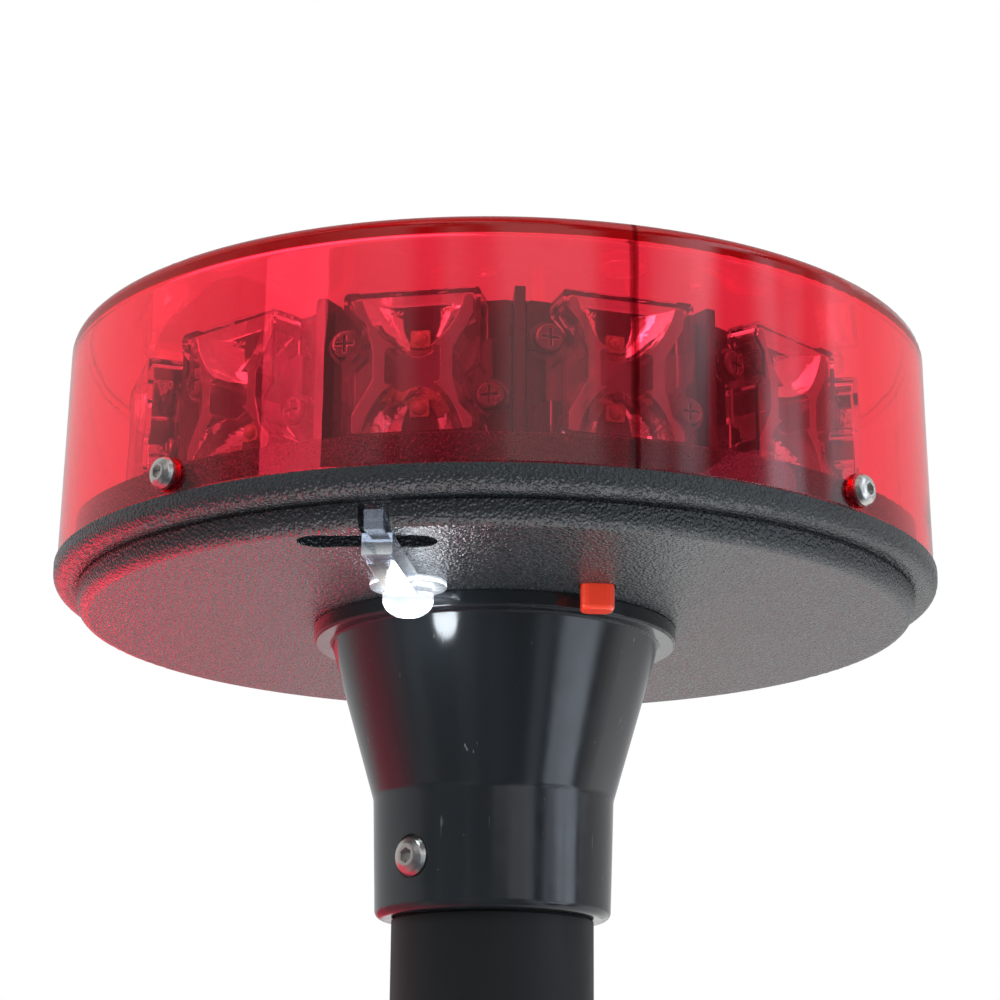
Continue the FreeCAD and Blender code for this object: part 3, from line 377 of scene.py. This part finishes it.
FINISHES = {
    "red_lens": red_lens(),
    "clear_plastic": clear_cover("clear_cover"),
    "black_grained": grained_black(),
    "black_moulded": moulded_black(),
    "black_carrier": solid("carrier_black", (0.016, 0.016, 0.018), 0.38, worn=(0.06, 0.06, 0.065)),
    "black_tube": solid("tube_black", (0.007, 0.008, 0.009), 0.5, spread=0.06, grain=0.25 * MM,
                        depth=0.015 * MM, worn=(0.12, 0.12, 0.125), specular=0.2),
    "board_black": circuit("board_black", (0.012, 0.012, 0.013), (0.03, 0.03, 0.028)),
    "board_green": circuit("board_green", (0.015, 0.13, 0.05), (0.05, 0.27, 0.11)),
    "reflector_chrome": chrome(),
    "led_package": emitter(),
    "lamp_white": lit_lens(),
    "screw_steel": solid("screw_steel", (0.62, 0.61, 0.58), 0.27, metallic=1.0, tint=0.12,
                         spread=0.1, grain=0.2 * MM, depth=0.008 * MM, worn=(0.8, 0.8, 0.78)),
    "button_orange": solid("button_orange", (0.95, 0.06, 0.024), 0.24, tint=0.06, spread=0.05,
                           grain=0.6 * MM, depth=0.01 * MM, worn=(0.9, 0.16, 0.07), coat=0.3,
                           extra={"Subsurface Weight": 0.15, "Subsurface Scale": 1 * MM,
                                  "Subsurface Radius": (1.0, 0.25, 0.1)}),
    "seal_rubber": solid("seal_rubber", (0.02, 0.02, 0.021), 0.62, grain=0.4 * MM,
                         depth=0.02 * MM, worn=(0.05, 0.05, 0.05)),
    "chip_black": solid("chip_black", (0.02, 0.02, 0.022), 0.55, grain=0.15 * MM,
                        depth=0.01 * MM, worn=(0.1, 0.1, 0.1)),
    "ferrite_grey": solid("ferrite_grey", (0.09, 0.09, 0.1), 0.6, grain=0.3 * MM,
                          depth=0.02 * MM, worn=(0.2, 0.2, 0.2)),
    "can_aluminium": solid("can_aluminium", (0.75, 0.76, 0.78), 0.3, metallic=1.0,
                           grain=0.2 * MM, depth=0.006 * MM, worn=(0.85, 0.85, 0.86)),
    "wire_sleeve": solid("wire_sleeve", (0.5, 0.03, 0.025), 0.45, grain=0.5 * MM,
                         depth=0.02 * MM, worn=(0.6, 0.08, 0.06)),
    "contact_brass": solid("contact_brass", (0.78, 0.58, 0.26), 0.25, metallic=1.0,
                           grain=0.2 * MM, depth=0.006 * MM, worn=(0.9, 0.75, 0.4)),
    "cell_jacket": solid("cell_jacket", (0.16, 0.18, 0.2), 0.3, grain=1.2 * MM,
                         depth=0.01 * MM, worn=(0.4, 0.4, 0.42), coat=0.4),
    "spring_steel": solid("spring_steel", (0.66, 0.66, 0.66), 0.22, metallic=1.0,
                          grain=0.2 * MM, depth=0.006 * MM, worn=(0.8, 0.8, 0.8)),
}
SPECIAL = {
    "downlight_lens": FINISHES["lamp_white"],
    "light_guide": guide_plastic(),
    "module_screws": solid("dark_screw", (0.14, 0.14, 0.14), 0.3, metallic=1.0, grain=0.2 * MM,
                           depth=0.008 * MM, worn=(0.85, 0.85, 0.85), wear=0.3 * MM),
}

for node_name, node in NODES.items():
    finish = SPECIAL.get(node_name, FINISHES[SLOT_OF[node_name]])
    node.data.materials.clear()
    node.data.materials.append(finish)


def springy_coil():
    """A copy of the button's spring with its own mesh, fixed to the head and handle; on the lamp the
    button's stroke presses it together.
    """
    solid_coil = NODES["button_spring"]
    coil = bpy.data.objects.new("button_spring_coil", solid_coil.data.copy())
    bpy.context.scene.collection.objects.link(coil)
    coil.matrix_world = solid_coil.matrix_world.copy()
    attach(coil, "head_and_handle")
    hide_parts("button_spring")
    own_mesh(coil)


springy_coil()


# ---- room, light and camera ---------------------------------------------------------------
def pale_floor():
    size = 3.0                             # metres from the middle to an edge
    mesh = bpy.data.meshes.new("floor")
    corners = [(-size, -size, 0), (size, -size, 0), (size, size, 0), (-size, size, 0)]
    mesh.from_pydata(corners, [], [(0, 1, 2, 3)])
    floor = bpy.data.objects.new("floor", mesh)
    bpy.context.scene.collection.objects.link(floor)
    floor.location.z = cad_box[0][2]
    floor.visible_glossy = False
    mesh.materials.append(solid("floor_paper", (0.82, 0.82, 0.82), 0.8, tint=0.02, grain=2 * MM,
                                depth=0.02 * MM))


def shine_only_on_pan(light):
    """The base pan is all that this light reaches."""
    receivers = bpy.data.collections.new(light.name + "_receivers")
    receivers.objects.link(NODES["base_pan"])
    light.light_linking.receiver_collection = receivers


def soft_light(name, power, size, azimuth, height, distance, aim_z, colour=(1, 1, 1),
               mirrored=False):
    """A rectangular soft light at an azimuth from the front (-Y), aimed at the axis.

    Polished surfaces show its shape only if mirrored is true.
    """
    data = bpy.data.lights.new(name, "AREA")
    data.shape = "RECTANGLE"
    data.size, data.size_y = size
    data.energy = power
    data.color = colour
    light = bpy.data.objects.new(name, data)
    bpy.context.scene.collection.objects.link(light)
    angle = math.radians(azimuth)
    light.location = (distance * math.sin(angle), -distance * math.cos(angle), height)
    aim = Vector((0, 0, aim_z)) - light.location
    light.rotation_euler = aim.to_track_quat("-Z", "Y").to_euler()
    light.visible_glossy = mirrored
    return light


def pan_light():
    """A wide disc low down, for the sparkle on the pan's rounded edges."""
    data = bpy.data.lights.new("pan_light", "AREA")
    data.shape = "DISK"
    data.size = 0.5
    data.energy = 1.5
    data.color = (0.92, 0.98, 1.0)
    light = bpy.data.objects.new("pan_light", data)
    bpy.context.scene.collection.objects.link(light)
    light.location = (0, -0.06, 0.02)
    light.rotation_euler = (math.pi, 0, 0)
    light.visible_camera = False
    shine_only_on_pan(light)


def lamp_light():
    """The white downlight's own light on the pan and the collar."""
    data = bpy.data.lights.new("downlight_spill", "POINT")
    data.energy = 0.016
    data.color = (0.85, 0.93, 1.0)
    data.shadow_soft_size = 4 * MM
    light = bpy.data.objects.new("downlight_spill", data)
    bpy.context.scene.collection.objects.link(light)
    light.location = (LAMP.x, LAMP.y, DISH_Z - 8 * MM)


WHITE = (1, 1, 1, 1)
FILL = (0.9, 0.9, 0.9, 1)                  # what lights matt surfaces from all sides
FRONT_BELOW = (0.16, 0.18, 0.21, 1)
FRONT_ABOVE = (1.1, 1.1, 1.1, 1)
FRONT_LEFT = (0.35, 0.35, 0.35, 1)
FRONT_RIGHT = (2.5, 2.8, 3.2, 1)
FRONT_PATCH = (0.07, 0.07, 0.08, 1)
BACK_BELOW = (1.05, 1.05, 1.05, 1)
BACK_BELOW_LEFT = (1.0, 0.10, 0.16, 1)
BACK_ABOVE = (0.6, 0.6, 0.61, 1)
THROUGH_FRONT_BELOW = (0.10, 0.10, 0.10, 1)
THROUGH_FRONT_ABOVE = (0.8, 0.8, 0.8, 1)
ROOM_PATCHES = 2.6                         # a higher value makes more and smaller dark patches


def world():
    """A white backdrop to look at; polished surfaces mirror a room with darker parts."""
    scene_world = bpy.data.worlds.new("studio")
    bpy.context.scene.world = scene_world
    scene_world.use_nodes = True
    tree = scene_world.node_tree
    tree.nodes.clear()

    def add(kind, inputs, **settings):
        node = tree.nodes.new(kind)
        for key, value in settings.items():
            setattr(node, key, value)
        for key, value in inputs.items():
            if isinstance(value, bpy.types.NodeSocket):
                tree.links.new(value, node.inputs[key])
            else:
                node.inputs[key].default_value = value
        return node.outputs

    def fade(value, low, high):
        return add("ShaderNodeMapRange", {0: value, 1: low, 2: high, 3: 0.0, 4: 1.0},
                   interpolation_type="SMOOTHSTEP")[0]

    def mix(factor, first, second):
        return add("ShaderNodeMix", {0: factor, 6: first, 7: second}, data_type="RGBA")[2]

    direction = tree.nodes.new("ShaderNodeTexCoord").outputs["Generated"]
    x, y, z = add("ShaderNodeSeparateXYZ", {0: direction})[:3]
    behind = fade(y, -0.35, 0.35)
    above_front = fade(z, -0.2, 0.25)

    # the half of the room on the viewer's side: dark below, pale above, bluish to the right
    front = mix(above_front, FRONT_BELOW, FRONT_ABOVE)
    front = mix(fade(x, -0.25, -0.75), front, FRONT_LEFT)
    front = mix(fade(x, 0.35, 0.9), front, FRONT_RIGHT)
    patches = add("ShaderNodeTexNoise", {"Scale": ROOM_PATCHES})
    front = mix(fade(patches["Fac"], 0.62, 0.42), front, FRONT_PATCH)

    # the half behind the object: grey above, white below, and red below on the left
    below_back = mix(fade(x, 0.05, -0.12), BACK_BELOW, BACK_BELOW_LEFT)
    back = mix(fade(z, -0.14, 0.02), below_back, BACK_ABOVE)

    mirrored = mix(behind, front, back)
    through = mix(behind, mix(above_front, THROUGH_FRONT_BELOW, THROUGH_FRONT_ABOVE), WHITE)
    path = tree.nodes.new("ShaderNodeLightPath").outputs
    colour = mix(path["Is Transmission Ray"], mirrored, through)
    colour = mix(path["Is Diffuse Ray"], colour, FILL)
    colour = mix(path["Is Camera Ray"], colour, WHITE)
    backdrop = add("ShaderNodeBackground", {0: colour})
    add("ShaderNodeOutputWorld", {0: backdrop[0]})


CAMERA_DISTANCE = 0.475                    # metres from the handle axis
CAMERA_BELOW_PARTING = 0.1163              # metres
CAMERA_AZIMUTH = -3.2
CAMERA_PITCH = 15.70
CAMERA_HEADING = -0.09
CAMERA_ROLL = 0.49
CAMERA_LENS = 90.4                         # millimetres, on a 36 mm sensor


def camera():
    data = bpy.data.cameras.new("camera")
    data.lens = CAMERA_LENS
    data.sensor_width = 36
    data.clip_start = 0.01
    view = bpy.data.objects.new("camera", data)
    bpy.context.scene.collection.objects.link(view)
    around = Matrix.Rotation(math.radians(CAMERA_AZIMUTH), 4, "Z")
    spot = Matrix.Translation((0, -CAMERA_DISTANCE, PARTING_Z - CAMERA_BELOW_PARTING))
    turn = (Matrix.Rotation(math.radians(CAMERA_HEADING), 4, "Z")
            @ Matrix.Rotation(math.radians(90 + CAMERA_PITCH), 4, "X")
            @ Matrix.Rotation(math.radians(CAMERA_ROLL), 4, "Z"))
    view.matrix_world = around @ spot @ turn
    bpy.context.scene.camera = view


pale_floor()
world()
soft_light("softbox_top", 7, (0.9, 0.9), -75, HEAD_TOP_Z + 0.6, 0.5, HEAD_TOP_Z)
soft_light("softbox_left", 5, (0.25, 0.6), -55, PARTING_Z + 0.35, 0.8, PARTING_Z)
soft_light("softbox_right", 1.7, (0.45, 0.35), 62, PARTING_Z + 0.1, 0.9, PARTING_Z - 0.06,
           (0.7, 0.82, 1.0))
red_glow = soft_light("red_glow", 4.0, (0.6, 0.4), 213, PARTING_Z - 0.25, 0.8, PARTING_Z,
                      (1.0, 0.04, 0.08), mirrored=True)
shine_only_on_pan(red_glow)
pan_light()
lamp_light()
camera()
bpy.context.scene.view_settings.view_transform = "Standard"
bpy.context.scene.cycles.transparent_max_bounces = 32
bpy.context.scene.cycles.max_bounces = 20
bpy.context.scene.cycles.transmission_bounces = 20
bpy.context.scene.cycles.glossy_bounces = 8
